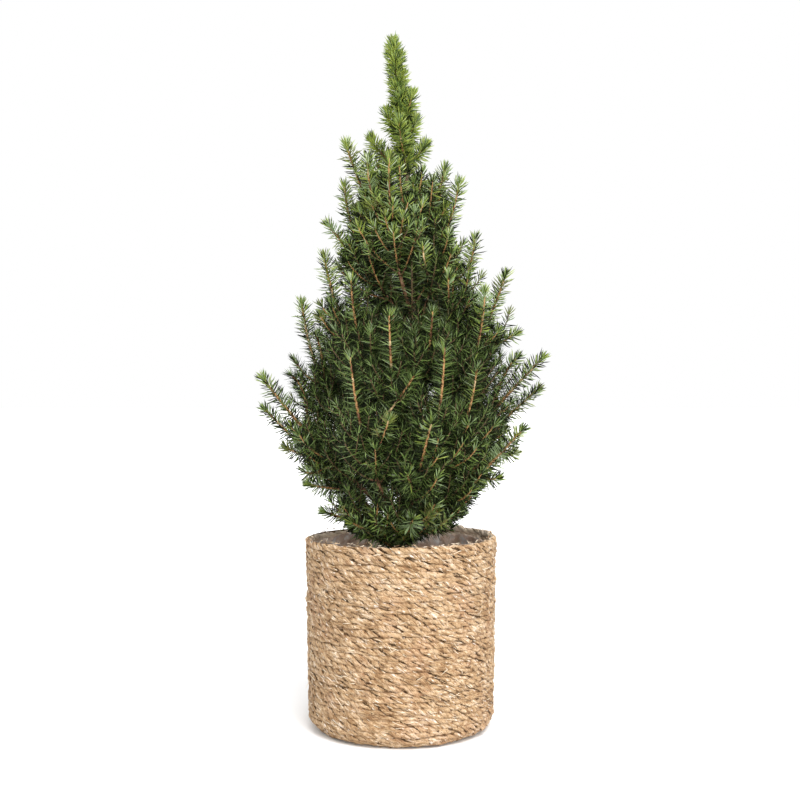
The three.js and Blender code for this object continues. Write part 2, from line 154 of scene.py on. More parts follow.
LEADER_SHOOTS = (
    (596, 330, 12, 628, 8),
    (556, 170, 30, 586, 26),
    (560, 8, 24, 580, 22),
    (566, 262, 14, 600, 6),
    (590, 12, 9, 606, 6),
    (588, 178, 14, 612, 10),
    (578, 352, 14, 603, 12),
)

# Shoots that turn away from their bough: its name, the share of its length where they fork off,
# and their tip's turn, reach, height and lean.
OUTWARD_SHOOTS = (
    ("middle_right", 0.52, (360, 115, 390, 58)),
    ("low_right", 0.62, (358, 116, 366, 50)),
    ("low_left", 0.6, (185, 110, 349, 55)),
    ("left_upright", 0.55, (193, 86, 388, 48)),
    ("front_left", 0.5, (277, 101, 347, 38)),
    ("front_left", 0.4, (264, 108, 306, 46)),
    ("front_right_low", 0.42, (307, 106, 303, 52)),
    ("low_right_front", 0.5, (328, 94, 283, 56)),
    ("front_low", 0.42, (274, 86, 256, 30)),
    ("upper_front", 0.3, (218, 41, 560, -3)),
    ("upper_front", 0.3, (275, 38, 490, 26)),
    ("middle_left_front", 0.3, (262, 50, 406, 6)),
    ("middle_right_front", 0.25, (284, 44, 392, 10)),
    ("upper_right_front", 0.3, (300, 42, 474, 4)),
    ("upper_right", 0.35, (325, 56, 446, 6)),
    ("low_left_rear", 0.6, (176, 116, 276, 60)),
    ("low_left", 0.42, (195, 98, 254, 62)),
    ("low_left_rear", 0.34, (178, 92, 240, 68)),
    ("low_right_rear", 0.55, (4, 114, 270, 62)),
    ("low_right_rear", 0.4, (352, 96, 247, 64)),
)

# ---------- Finer growth and needles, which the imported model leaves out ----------

TWIGLET_LENGTH = (17, 34)
TWIGLET_STEP = 13
TWIGLET_RUN = 0.62  # share of a side shoot's length that counts towards how many it bears
TWIGLET_FIRST = 0.16  # share of its path where they begin
TWIGLET_SPAN = 0.5  # and over which they fork off
TWIGLET_FORK = 40
TWIGLET_UPTURN = 1.1
TWIGLET_PARENT = 38  # the shortest shoot that bears twiglets

# Heights between which the crown gets thin enough for light to reach its middle, and how much shallower it
# then counts.
THIN_CROWN = (380, 500)
THINNING = 0.4

# Short shoots that spring from the trunk itself: lowest, highest and step. Then their length, the share of
# the crown's radius that they keep to, and the leans of their two halves, in the full and in the thin crown.
TRUNK_SHOOTS = (200, 512, 7)
FULL_CROWN_SHOOT = (46, 0.62, 54, 14)
THIN_CROWN_SHOOT = (66.7, 0.95, 44, 6)

# Gaps between the front boughs, where the needles get painted shade: the turn of each one's middle, half its
# width, its foot and its top.
HOLLOWS = (
    (312, 15, 385, 505), (277, 6, 338, 388), (289, 9, 298, 352), (283, 8, 212, 272), (236, 7, 250, 300),
    (284, 8, 388, 445), (228, 8, 300, 352), (306, 7, 328, 385), (262, 6, 425, 480),
)
HOLLOW_DEPTH = 22  # how much deeper in the crown a spot in one of them counts, which darkens its needles as painted shade
OPEN_DEPTH = 6  # for stems that stand clear of the crown

# Very short shoots up the leader: lowest, highest and step, then their length, how much of it the last one
# loses, and the leans of their two halves.
LEADER_SPURS = (568, 671, 7)
SPUR_LENGTH = 14
SPUR_FADE = 0.35
SPUR_LEANS = (40, 14)

# Each kind of stem: where its needles start, its radii at foot and tip, its rank (0 for boughs, 1 for side
# shoots, 2 for twiglets), how densely it is needled, and whether it stands clear of the crown. The needles
# of limbs and boughs start by their bare share instead.
STEM_KINDS = {
    "limb": (0, (2.9, 0.95), 0, 1.0, False),
    "bough": (0, (2.3, 0.95), 0, 1.0, False),
    "outward": (2, (1.6, 0.9), 0, 1.0, False),
    "side": (2, (1.1, 0.7), 1, 1.0, False),
    "trunk_shoot": (6, (1.2, 0.8), 1, 1.0, False),
    "twiglet": (1.5, (0.7, 0.5), 2, 1.0, False),
    "leader": (0, (2.0, 1.3), 0, 2.083, True),
    "leader_shoot": (3, (1.3, 0.85), 0, 1.6, True),
    "leader_spur": (1, (0.9, 0.7), 0, 1.4, True),
}
LEAST_BARE = 0.04  # share of a bough at its foot that never bears needles

# Where a setting has three numbers, they are for boughs, side shoots and twiglets.
NEEDLE_LENGTH = 13.4
LENGTH_SHARES = (1.0, 0.92, 0.8)
NEEDLE_WIDTH = (1.16, 1.12, 1.12)
NEEDLES_PER_MM = (3.5, 2.1, 1.3)
TUFT_COUNT = (9, 7, 5)
NEEDLE_ANGLE = 79  # from its stem, and at a shoot's tip
TIP_ANGLE = 33
TIP_REACH = 12  # length below a tip in which needles close up to that and get shorter
TIP_SHORTENING = 0.2
NEEDLE_BEND = 0.19
NEEDLE_LIFT = 0.08
NEEDLE_ROOT = 0.6  # how far out in its stem a needle starts, as a share of the stem's radius
ROLL_SPREAD = 12
ANGLE_SPREAD = 7
LENGTH_SPREAD = (0.82, 1.08)
TUFT_ANGLES = (7, 36)
TUFT_LENGTHS = (0.6, 0.85)
YOUNG_WOOD = 62  # length of the last season's growth
PARTING = 0.62  # how far the needles of a bough are combed aside on its outer face

# ---------- Making meshes ----------


class Piece:
    """Gathers vertices and faces in millimetres and becomes one mesh object in metres."""

    def __init__(self):
        self.points = []
        self.faces = {3: [], 4: []}
        self.corners = {3: [], 4: []}
        self.count = 0

    def add(self, points, faces, corners=None):
        """points is n by 3, faces m by 3 or 4 of indices into them, and corners m by 3 or 4 by 2 of a map."""
        sides = faces.shape[1]
        self.points.append(points)
        self.faces[sides].append(faces + self.count)
        if corners is not None:
            self.corners[sides].append(corners)
        self.count += len(points)

    def build(self, name, material, smooth=True):
        points = np.concatenate(self.points) * MM
        loops, starts, maps, at = [], [], [], 0
        for sides in (3, 4):
            if not self.faces[sides]:
                continue
            faces = np.concatenate(self.faces[sides])
            loops.append(faces.ravel())
            starts.append(at + sides * np.arange(len(faces)))
            at += faces.size
            if self.corners[sides]:
                maps.append(np.concatenate(self.corners[sides]).reshape(-1, 2))
        loops, starts = np.concatenate(loops), np.concatenate(starts)
        mesh = bpy.data.meshes.new(name)
        mesh.vertices.add(len(points))
        mesh.vertices.foreach_set("co", points.ravel())
        mesh.loops.add(len(loops))
        mesh.loops.foreach_set("vertex_index", loops)
        mesh.polygons.add(len(starts))
        mesh.polygons.foreach_set("loop_start", starts)
        mesh.polygons.foreach_set("use_smooth", np.full(len(starts), smooth))
        mesh.update(calc_edges=True)
        if maps:
            mesh.uv_layers.new(name="OFBake").data.foreach_set("uv", np.concatenate(maps).ravel())
        mesh.validate()
        mesh.materials.append(material)
        made = bpy.data.objects.new(name, mesh)
        bpy.context.scene.collection.objects.link(made)
        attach(made, "root")
        return made


def unit(vectors):
    return vectors / np.linalg.norm(vectors, axis=-1, keepdims=True)


def direction(turn, lean):
    """The unit vector of a turn and a lean in degrees."""
    turn, lean = math.radians(turn), math.radians(lean)
    return np.array([math.cos(turn) * math.sin(lean), math.sin(turn) * math.sin(lean), math.cos(lean)])


def draw(*keys):
    """A repeatable number from 0 to 1 for a set of whole numbers."""
    mixed = 2166136261
    for key in keys:
        mixed = ((mixed ^ key) * 16777619) & 0xFFFFFFFF
    mixed = ((mixed ^ (mixed >> 15)) * 2246822519) & 0xFFFFFFFF
    mixed = ((mixed ^ (mixed >> 13)) * 3266489917) & 0xFFFFFFFF
    return (mixed ^ (mixed >> 16)) / 4294967296


def between(pair, share):
    return pair[0] + (pair[1] - pair[0]) * share


def ramp(value, low, high):
    """0 at low and 1 at high, and flat beyond them."""
    return min(max((value - low) / (high - low), 0), 1)


class Path:
    """A Bezier curve of three or four points, with its length measured."""

    def __init__(self, *handles):
        self.handles = [np.asarray(h, float) for h in handles]
        t = np.linspace(0, 1, 65)
        steps = np.linalg.norm(np.diff(self.at(t), axis=0), axis=1)
        self.t = t
        self.run = np.concatenate([[0], np.cumsum(steps)])
        self.length = self.run[-1]

    @staticmethod
    def blend(points, t):
        """The point of a Bezier curve at each t, from its control points."""
        t = np.asarray(t, float)[..., None]
        points = [p + 0 * t for p in points]
        while len(points) > 1:
            points = [a + (b - a) * t for a, b in zip(points, points[1:])]
        return points[0]

    def at(self, t):
        return self.blend(self.handles, t)

    def tangent(self, t):
        return unit(self.blend(np.diff(self.handles, axis=0), t))

    def t_at(self, run):
        return np.interp(run, self.run, self.t)


def frames_along(path, t):
    """Points, directions and two axes across them that don't twist, at each t."""
    points, forward = path.at(t), path.tangent(t)
    across = np.empty_like(forward)
    last = np.array([forward[0][2], 0.0, -forward[0][0]])
    for k, ahead in enumerate(forward):
        last = last - ahead * (last @ ahead)
        last = last / np.linalg.norm(last)
        across[k] = last
    return points, forward, across, np.cross(forward, across)


def bent_path(root, first, second, length):
    """A path that sets off in one direction and ends in another, half of its length in each."""
    middle = root + first * length / 2
    return Path(root, middle, middle + second * length / 2)


def fork(forward, level, roll, angle):
    """The direction of a shoot at an angle from its stem, rolled round it from its level side."""
    roll, angle = math.radians(roll), math.radians(angle)
    side = level * math.cos(roll) + np.cross(level, forward) * math.sin(roll)
    return forward * math.cos(angle) + side * math.sin(angle)


# ---------- Where boughs and shoots run ----------


def trunk_axis(height):
    share = (height - TRUNK_FOOT) / (PLANT_TOP - TRUNK_FOOT)
    return np.array([
        TRUNK_LEAN * share**2 + TRUNK_SWAY * math.sin(math.pi * share),
        TRUNK_DEPTH_SWAY * math.sin(2 * math.pi * share),
        height,
    ])


def trunk_radius(height):
    share = (height - TRUNK_FOOT) / (PLANT_TOP - TRUNK_FOOT)
    return TRUNK_TIP_RADIUS + (TRUNK_FOOT_RADIUS - TRUNK_TIP_RADIUS) * (1 - share) ** TRUNK_TAPER


def crown_radius(height):
    return np.interp(height, [z for z, _ in CROWN], [r for _, r in CROWN])


def curve_to(start, row, heading):
    """A curve to a tip of a given turn, reach, height and lean, from a heading that goes by its chord."""
    turn, reach, height, lean = row
    end = np.array([0, 0, height]) + direction(turn, 90) * reach
    chord = end - start
    chord_turn = math.degrees(math.atan2(chord[1], chord[0]))
    handle = BOW * np.linalg.norm(chord)
    first = heading(chord, chord_turn, lean)
    return Path(start, start + first * handle, end - direction(chord_turn, lean) * handle, end)


def bough_path(row):
    def heading(chord, turn, lean):
        chord_lean = math.degrees(math.atan2(math.hypot(chord[0], chord[1]), chord[2]))
        return direction(turn, min(2 * chord_lean - lean, WIDEST_START))

    return curve_to(trunk_axis(row[0]), row[1:], heading)


def outward_path(parent, at, row):
    """A shoot from a place on its bough to a tip that leans its own way."""
    forward = parent.tangent(at)
    return curve_to(parent.at(at), row, lambda chord, *_: unit(forward + unit(chord)))


def rear_boughs():
    rows = {}
    for i in range(REAR_COUNT):
        swing = (((i * GOLDEN_TURN) % 360) / 360 - 0.5) * REAR_SPREAD
        tip = REAR_FIRST_TIP + REAR_TIP_STEP * i
        share = min(i / REAR_FULL_RISE, 1)
        reach = crown_radius(tip) - between(REAR_INSET, draw(i, 7))
        foot = tip - between(REAR_RISE, share)
        rows[f"rear_{i + 1}"] = (foot, REAR_TURN + swing, reach, tip, between(REAR_LEAN, share))
    return rows


def side_paths(stem, key, start_share):
    """The side shoots of a bough that is bare up to a share of its length."""
    places = round(stem.length / PLACE_STEP)
    for i in range(1, places):
        share = i / places
        at = FIRST_PLACE + (LAST_PLACE - FIRST_PLACE) * share
        if at < start_share + BARE_START:
            continue
        root, forward = stem.at(at), stem.tangent(at)
        level = unit(np.array([-forward[1], forward[0], 0.0]))
        start = fork(forward, level, GOLDEN_TURN * i + 360 * draw(key, 0), FORK)
        end = unit(start + (UP - start) * UPTURN)
        length = SHOOT_LENGTH * (1 - LENGTH_FADE * share) * between(LENGTH_RANGE, draw(key, i))
        while length >= SHORTEST_SHOOT:
            path = bent_path(root, start, end, length)
            x, y, z = path.handles[-1]
            if math.hypot(x, y) <= crown_radius(z) - SHOOT_INSET and z >= CROWN[0][0]:
                yield path
                break
            length *= CUT_BACK


def twiglet_paths(stem, key):
    """Short twigs on the inner part of a side shoot."""
    count = int(stem.length * TWIGLET_RUN / TWIGLET_STEP)
    for i in range(count):
        at = TWIGLET_FIRST + TWIGLET_SPAN * (i + draw(key, i, 3)) / count
        root, forward = stem.at(at), stem.tangent(at)
        level = unit(np.cross(UP, forward) + np.array([1e-6, 0, 0]))
        start = fork(forward, level, GOLDEN_TURN * i + 360 * draw(key, 5), TWIGLET_FORK)
        length = between(TWIGLET_LENGTH, draw(key, i, 4))
        yield bent_path(root, start, unit(start + UP * TWIGLET_UPTURN), length)


class Stem:
    """One leafy stem, with its path, its kind and its own number, which seeds its draws."""

    def __init__(self, path, kind, number):
        self.path = path
        self.number = number
        self.start, self.radii, self.rank, self.dense, self.is_open = STEM_KINDS[kind]

    def depth(self, spot):
        """How deep in the crown a spot on the stem is, less where the crown is thin, more in a hollow."""
        if self.is_open:
            return OPEN_DEPTH
        depth = crown_radius(spot[2]) - math.hypot(spot[0], spot[1])
        depth *= 1 - THINNING * ramp(spot[2], *THIN_CROWN)
        turn = math.degrees(math.atan2(spot[1], spot[0]))
        for middle, wide, low, high in HOLLOWS:
            if self.rank and low < spot[2] < high and abs((turn - middle + 180) % 360 - 180) < wide:
                depth += HOLLOW_DEPTH
        return depth


def trunk_shoot_paths():
    for i, height in enumerate(np.arange(*TRUNK_SHOOTS)):
        shoot = THIN_CROWN_SHOOT if height > THIN_CROWN[0] else FULL_CROWN_SHOOT
        longest, reach, first_lean, second_lean = shoot
        length = min(longest, reach * crown_radius(height)) * (0.8 + 0.4 * draw(i, 11))
        turn = GOLDEN_TURN * i + 30 * draw(i, 12)
        halves = direction(turn, first_lean), direction(turn, second_lean)
        yield bent_path(trunk_axis(height), *halves, length)


def leader_spur_paths():
    """Very short shoots that hug the leader and make its outline stepped."""
    low, high, step = LEADER_SPURS
    for i, height in enumerate(np.arange(low, high, step)):
        turn = GOLDEN_TURN * i + 40
        length = SPUR_LENGTH * (0.7 + 0.6 * draw(i, 21)) * (1 - SPUR_FADE * i * step / (high - low))
        yield bent_path(trunk_axis(height), *(direction(turn, lean) for lean in SPUR_LEANS), length)


def grow():
    """Every stem of the plant, from the boughs to the twiglets."""
    stems, paths = [], {}
    for number, (name, row) in enumerate({**BOUGHS, **rear_boughs()}.items(), 1):
        path = paths[name] = bough_path(row)
        limbed = row[0] < LIMBED_BELOW and path.length > SHORTEST_LIMBED
        bare = BARE_LIMB if limbed else 0
        bough = Stem(path, "limb" if limbed else "bough", number)
        bough.start = path.length * max(bare, LEAST_BARE)
        stems.append(bough)
        for i, side in enumerate(side_paths(path, number, bare)):
            stems += with_twiglets(Stem(side, "side", number * 100 + i))
    for i, (name, at, row) in enumerate(OUTWARD_SHOOTS):
        stems += with_twiglets(Stem(outward_path(paths[name], at, row), "outward", 7000 + i))
    stems += [Stem(path, "trunk_shoot", 8000 + i) for i, path in enumerate(trunk_shoot_paths())]
    heights = (TRUNK_TOP, (TRUNK_TOP + PLANT_TOP) / 2, PLANT_TOP)
    stems.append(Stem(Path(*(trunk_axis(height) for height in heights)), "leader", 900))
    stems += [Stem(path, "leader_spur", 950 + i) for i, path in enumerate(leader_spur_paths())]
    stems += [Stem(bough_path(row), "leader_shoot", 901 + i) for i, row in enumerate(LEADER_SHOOTS)]
    return stems


def with_twiglets(shoot):
    if shoot.path.length <= TWIGLET_PARENT:
        return [shoot]
    twigs = enumerate(twiglet_paths(shoot.path, shoot.number))
    return [shoot, *(Stem(twig, "twiglet", shoot.number * 20 + j) for j, twig in twigs)]


# ---------- Needles ----------

# From the brightest tips to the darkest inner sprays, then the odd ones. Tip and young are the new growth's
# own colours, and bright, green, deep and shade step from painted light down to painted shade.
NEEDLE_COLOURS = {
    "tip": (0.270, 0.335, 0.058),
    "young": (0.205, 0.268, 0.050),
    "bright": (0.188, 0.272, 0.068),
    "green": (0.114, 0.176, 0.044),
    "deep": (0.042, 0.064, 0.015),
    "shade": (0.008, 0.013, 0.003),
    "moss": (0.140, 0.165, 0.034),
    "grey": (0.220, 0.300, 0.135),
    "pale": (0.410, 0.480, 0.290),
}
LADDER = ("tip", "young", "bright", "green", "deep", "shade")
ODD_SPRAYS = (("moss", 0.06), ("grey", 0.03))
# How many rungs darker than its spray a needle is, and how many of the spray's needles are so: the darker
# ones are painted shade between needles and the lighter ones painted highlights.
NEEDLE_RUNGS = ((-3, 0.08), (-2, 0.13), (-1, 0.12), (1, 0.10), (2, 0.28), (3, 0.14))
# Share of needles in a spray that take a pale tint: partly the pale lines that the needles have, partly
# painted highlights.
PALE_NEEDLES = (0.14, 0.12, 0.08)
SPRAY = 9.0  # length of stem that shares a tint
INNER = 26  # how deep in the crown the needles get plainer

# A spray's rung on the ladder: in full light, what being deep in the crown adds as painted shade, and what a
# tip takes off.
LIT_RUNG = (2.2, 2.7, 3.1)
DEEP_RUNGS = (2.3, 2.9, 2.9)
TIP_RUNGS = (0.9, 0.9, 0.2)
LIGHT_FADE = (6, 34)  # depths between which the light fades
TIP_FADE = 8
# What is added low down and far out as painted shade, and taken off near the top on closed and open stems as
# painted light, with where it sets in and where it is full.
LOW_RUNGS, LOW_FADE = 0.9, (380, 200)
FAR_RUNGS, FAR_FADE = 1.1, (90, 125)
TOP_RUNGS, TOP_FADE = (0.3, 0.7), (440, 560)


def spray_tint(rng, stem, from_tip, inside, spot):
    """The tint of one spray, by its distance from the shoot's tip, its depth in the crown and its place:
    painted shade deep in the crown, low down and far out, and painted light near the top.
    """
    chance = rng.random()
    for tint, share in ODD_SPRAYS:
        if chance < share and inside < INNER and not stem.is_open:
            return tint
        chance -= share
    rung = LIT_RUNG[stem.rank] + DEEP_RUNGS[stem.rank] * ramp(inside, *LIGHT_FADE) + rng.normal(0, 0.45)
    rung -= TIP_RUNGS[stem.rank] * math.exp(-from_tip / TIP_FADE)
    rung += LOW_RUNGS * ramp(spot[2], *LOW_FADE) + FAR_RUNGS * ramp(math.hypot(spot[0], spot[1]), *FAR_FADE)
    rung -= TOP_RUNGS[stem.is_open] * ramp(spot[2], *TOP_FADE)
    return LADDER[int(min(max(round(rung), 0), 5))]


def needle_tints(rng, stem, tint, count):
    """Each needle's tint in a spray: most have the spray's own, and some a lighter or a darker one as painted
    highlight and painted shade, and a few a pale one.
    """
    own = np.full(count, tint, dtype=object)
    if tint not in LADDER:
        return own
    rung, chance = LADDER.index(tint), rng.random(count)
    for darker, share in NEEDLE_RUNGS:
        own[(chance >= 0) & (chance < share)] = LADDER[min(max(rung + darker, 0), len(LADDER) - 1)]
        chance -= share
    pale = "tip" if stem.is_open else "pale" if rung < 3 else "grey" if rung < 5 else "green"
    own[rng.random(count) < PALE_NEEDLES[stem.rank]] = pale
    return own


# Rings of three corners, as a share of a needle's length and a radius by its width, and the faces they make
# with its point. A plain needle is a spike, and the others keep their width up to a short point.
PLAIN_RINGS = ((0.02, 0.46),)
PLAIN_FACES = ((0, 1, 3), (1, 2, 3), (2, 0, 3))
FULL_RINGS = ((0.0, 0.34), (0.66, 0.5))
FULL_FACES = (
    (0, 1, 3), (1, 4, 3), (1, 2, 4), (2, 5, 4), (2, 0, 5), (0, 3, 5), (3, 4, 6), (4, 5, 6), (5, 3, 6),
)


class Needles:
    """All needles, gathered by tint until each tint becomes one piece."""

    def __init__(self):
        self.pieces = {}

    def add(self, tint, rank, plain, root, ahead, bend, length):
        across = unit(np.cross(ahead, UP + 1e-4))
        level = np.cross(ahead, across)
        rings, sides = (PLAIN_RINGS, PLAIN_FACES) if plain else (FULL_RINGS, FULL_FACES)
        size = 3 * len(rings) + 1
        points = np.empty((len(root), size, 3))
        for ring, (share, width) in enumerate(rings):
            centre = root + ahead * (length * share)[:, None] + bend * (length * share**2)[:, None]
            for corner in range(3):
                angle = math.radians(120 * corner + 60 * ring)
                out = across * math.cos(angle) + level * math.sin(angle)
                points[:, 3 * ring + corner] = centre + out * NEEDLE_WIDTH[rank] * width
        points[:, -1] = root + (ahead + bend) * length[:, None]
        faces = np.array(sides)[None] + size * np.arange(len(root))[:, None, None]
        half = "front" if root[0][1] < 0 else "rear"
        self.pieces.setdefault((tint, half), Piece()).add(points.reshape(-1, 3), faces.reshape(-1, 3))

    def add_spray(self, tints, rank, plain, *rows):
        """Needles of mixed tints, each of rows being one value for every needle."""
        for tint in sorted(set(tints)):
            own = np.flatnonzero(tints == tint)
            self.add(tint, rank, plain, *(values[own] for values in rows))


def parted(out, forward, points):
    """Directions of needles, with those that stand out of the crown combed to both sides of their stem."""
    outward = points * np.array([1, 1, 0])
    outward = unit(outward - forward * (outward * forward).sum(axis=1, keepdims=True))
    share = np.clip((out * outward).sum(axis=1, keepdims=True), 0, 1)
    return unit(out - outward * share * PARTING)


def grow_needles(stems):
    needles = Needles()
    rng = np.random.default_rng(41)
    for stem in stems:
        run = stem.path.length - stem.start
        per_mm = NEEDLES_PER_MM[stem.rank] * stem.dense
        count = max(6, int(run * per_mm))
        at = stem.start + run * (np.arange(count) + 0.5) / count
        points, forward, across, level = frames_along(stem.path, stem.path.t_at(at))
        from_tip = stem.path.length - at
        roll = GOLDEN_TURN * np.arange(count) + 360 * rng.random() + rng.normal(0, ROLL_SPREAD, count)
        closing = np.clip(1 - from_tip / TIP_REACH, 0, 1)
        angle = NEEDLE_ANGLE + (TIP_ANGLE - NEEDLE_ANGLE) * closing + rng.normal(0, ANGLE_SPREAD, count)
        roll, angle = np.radians(roll), np.radians(angle)
        out = across * np.cos(roll)[:, None] + level * np.sin(roll)[:, None]
        if stem.rank == 0 and not stem.is_open:
            out = parted(out, forward, points)
        ahead = unit(forward * np.cos(angle)[:, None] + out * np.sin(angle)[:, None] + UP * NEEDLE_LIFT)
        bend = (forward * 0.4 - out * 0.4 + rng.normal(0, 0.45, (count, 3))) * NEEDLE_BEND
        length = NEEDLE_LENGTH * (1 - TIP_SHORTENING * closing) * rng.uniform(*LENGTH_SPREAD, count)
        length *= LENGTH_SHARES[stem.rank]
        radius = between(stem.radii, at / stem.path.length)
        root = points + out * (radius * NEEDLE_ROOT)[:, None]
        spray = max(4, int(SPRAY * per_mm))
        for first in range(0, count, spray):
            some = slice(first, first + spray)
            middle = points[some].mean(axis=0)
            inside = stem.depth(middle)
            tint = spray_tint(rng, stem, from_tip[some].mean(), inside, middle)
            plain = inside > INNER or (stem.rank == 2 and inside > INNER / 2)
            tints = needle_tints(rng, stem, tint, len(root[some]))
            rows = (values[some] for values in (root, ahead, bend, length))
            needles.add_spray(tints, stem.rank, plain, *rows)
        add_tuft(needles, rng, stem)
    return needles


def add_tuft(needles, rng, stem):
    """The close needles round the bud at a stem's tip."""
    count = int(TUFT_COUNT[stem.rank] * stem.dense)
    tip, forward, across, level = (row[0] for row in frames_along(stem.path, np.array([1.0])))
    roll = np.radians(GOLDEN_TURN * np.arange(count))[:, None]
    angle = np.radians(np.linspace(*TUFT_ANGLES, count) + rng.normal(0, 5, count))[:, None]
    out = across * np.cos(roll) + level * np.sin(roll)
    ahead = unit(forward * np.cos(angle) + out * np.sin(angle))
    length = NEEDLE_LENGTH * rng.uniform(*TUFT_LENGTHS, count)
    inside = stem.depth(tip)
    tints = needle_tints(rng, stem, spray_tint(rng, stem, 0, inside, tip), count)
    root, bend = tip + out * 0.4 - forward, out * 0.05
    needles.add_spray(tints, stem.rank, inside > INNER, root, ahead, bend, length)


# ---------- Wood ----------


def tube(piece, path, start, end, radii, sides, step, relief=0.0, seed=0.0):
    """A tapering stem along a path, from one run of its length to another."""
    count = max(2, round((end - start) / step))
    run = np.linspace(start, end, count + 1)
    points, forward, across, level = frames_along(path, path.t_at(run))
    turn = 2 * math.pi * np.arange(sides) / sides
    out = across[:, None] * np.cos(turn)[None, :, None] + level[:, None] * np.sin(turn)[None, :, None]
    radius = np.broadcast_to(between(radii, np.linspace(0, 1, count + 1))[:, None], (count + 1, sides)).copy()
    if relief:
        for k in range(count + 1):
            for j in range(sides):
                spot = Vector((4 * math.cos(turn[j]), 4 * math.sin(turn[j]), run[k] * 0.5)) * 0.45
                radius[k, j] += relief * noise.noise(spot + Vector((seed, 0, 0)))
    add_rings(piece, points[:, None] + out * radius[:, :, None])


def skin(count, sides):
    """The faces between rings of points, numbered ring by ring, and each face's place in its ring."""
    k, j = np.meshgrid(np.arange(count - 1), np.arange(sides), indexing="ij")
    here, ahead = k * sides + j, k * sides + (j + 1) % sides
    return np.stack([here, ahead, ahead + sides, here + sides], axis=-1).reshape(-1, 4), j


def add_rings(piece, rings):
    """Joins rings of points, each closed, into one skin with both ends shut."""
    count, sides = rings.shape[:2]
    before = piece.count
    piece.add(rings.reshape(-1, 3), skin(count, sides)[0])
    fan = np.arange(1, sides - 1)
    start = np.stack([0 * fan, fan + 1, fan], axis=-1)
    end = np.stack([0 * fan, fan, fan + 1], axis=-1) + (count - 1) * sides
    piece.faces[3].append(np.concatenate([start, end]) + before)


# Tones of the last season's wood.
YOUNG_TONES = {"tan": (0.42, 0.215, 0.080), "ruddy": (0.19, 0.075, 0.028), "straw": (0.56, 0.38, 0.20)}


def build_trunk():
    piece = Piece()
    heights = np.concatenate([
        np.linspace(TRUNK_FOOT, TRUNK_FOOT + 30, 24),
        np.linspace(TRUNK_FOOT + 31.5, TRUNK_TOP + 6, 190),
    ])
    sides = 22
    rings = np.empty((len(heights), sides, 3))
    for k, height in enumerate(heights):
        centre = trunk_axis(height)
        for j in range(sides):
            turn = 2 * math.pi * j / sides
            flare = FLARE * math.exp(-(height - TRUNK_FOOT) / FLARE_HEIGHT)
            ridge = 1 - RIDGE_DEPTH + RIDGE_DEPTH * math.cos(FLARE_RIDGES * turn)
            radius = trunk_radius(height) + flare * ridge
            spot = Vector((math.cos(turn) * 2.2, math.sin(turn) * 2.2, height * 0.16))
            scale = noise.noise(spot) + 0.6 * noise.noise(spot * 2.6)
            radius += min(0.1 * radius, 0.55) * scale
            rings[k, j] = centre + np.array([math.cos(turn), math.sin(turn), 0]) * radius
    add_rings(piece, rings)
    return piece


def build_wood(stems):
    """Old brown wood, the last season's wood in three tones, and dark stems for twiglets and, as painted
    shade, for side shoots deep in the crown.
    """
    wood = {name: Piece() for name in ("old", *YOUNG_TONES, "small_and_shaded")}
    for stem in stems:
        length = stem.path.length
        season = (YOUNG_WOOD, 0.78 * length, length)[stem.rank]
        change = max(length - season, 0)
        middle = between(stem.radii, change / length)
        if change > 2:
            radii = (stem.radii[0], middle)
            sides, step, relief = (5, 6, 0.0) if stem.rank else (9, 2.2, 0.35)
            tube(wood["old"], stem.path, 0, change, radii, sides, step, relief, stem.number)
        if stem.rank == 0:
            add_young_wood(wood, stem, change)
        else:
            # Side shoots deep in the crown take the dark twiglet colour, as painted shade.
            bark = "tan" if stem.rank == 1 and stem.depth(stem.path.at(1.0)) < INNER else "small_and_shaded"
            tube(wood[bark], stem.path, change, length, (middle, stem.radii[1]), (6, 5, 3)[stem.rank], 7)
    return wood


def add_young_wood(wood, stem, start):
    """The last season's wood of a bough, which changes its tone every few millimetres."""
    length, run = stem.path.length, start
    while run < length:
        stop = run + 4 + 6 * draw(stem.number, int(run * 10))
        if length - stop < 3:
            stop = length
        chance = draw(stem.number, int(run * 10), 1)
        tone = "tan" if chance < 0.6 else "ruddy" if chance < 0.88 else "straw"
        radii = (between(stem.radii, run / length), between(stem.radii, stop / length))
        tube(wood[tone], stem.path, run, stop, radii, 6, 7)
        run = stop


# ---------- The seagrass basket ----------

COURSE = 5.5  # height of one turn of the rope
ROPE_RADIUS = 3.0
PITCH = 31.5  # rope length in which a strand goes once round
STRANDS = 3
STRAND_THICK = 1.3  # half of a strand's thickness, and of its width
STRAND_WIDE = 2.4
STRAND_SIDES = 5
ROPE_TALL = 1.22  # how much taller than thick the rope is, so that its turns close up
MAP_ROWS = 120  # strips of the UV square, one to each turn of a strand
MAP_FIT = 0.94  # share of the square's width that a turn fills
ROPE_START = 100  # turn in degrees at which the coil begins
CORNER = 17
FOOT_RADIUS = 92


def wall_profile():
    """The rope's middle line in a section: runs from the foot's centre outwards, round the corner and up."""
    flat = FOOT_RADIUS - CORNER
    bend = CORNER - ROPE_RADIUS
    corner = [math.radians(a) for a in range(-90, 1, 6)]
    rows = [(0.0, ROPE_RADIUS), (flat, ROPE_RADIUS)]
    rows += [(flat + bend * math.cos(a), CORNER + bend * math.sin(a)) for a in corner[1:]]
    rows = np.array([*rows, (RIM_RADIUS - ROPE_RADIUS, BASKET_HEIGHT - ROPE_RADIUS)])
    run = np.concatenate([[0], np.cumsum(np.linalg.norm(np.diff(rows, axis=0), axis=1))])
    return rows, run


def profile_at(turns):
    """Radius and height of the rope's middle line at runs of the wall's profile."""
    rows, run = wall_profile()
    return np.array([np.interp(turns, run, rows[:, 0]), np.interp(turns, run, rows[:, 1])])


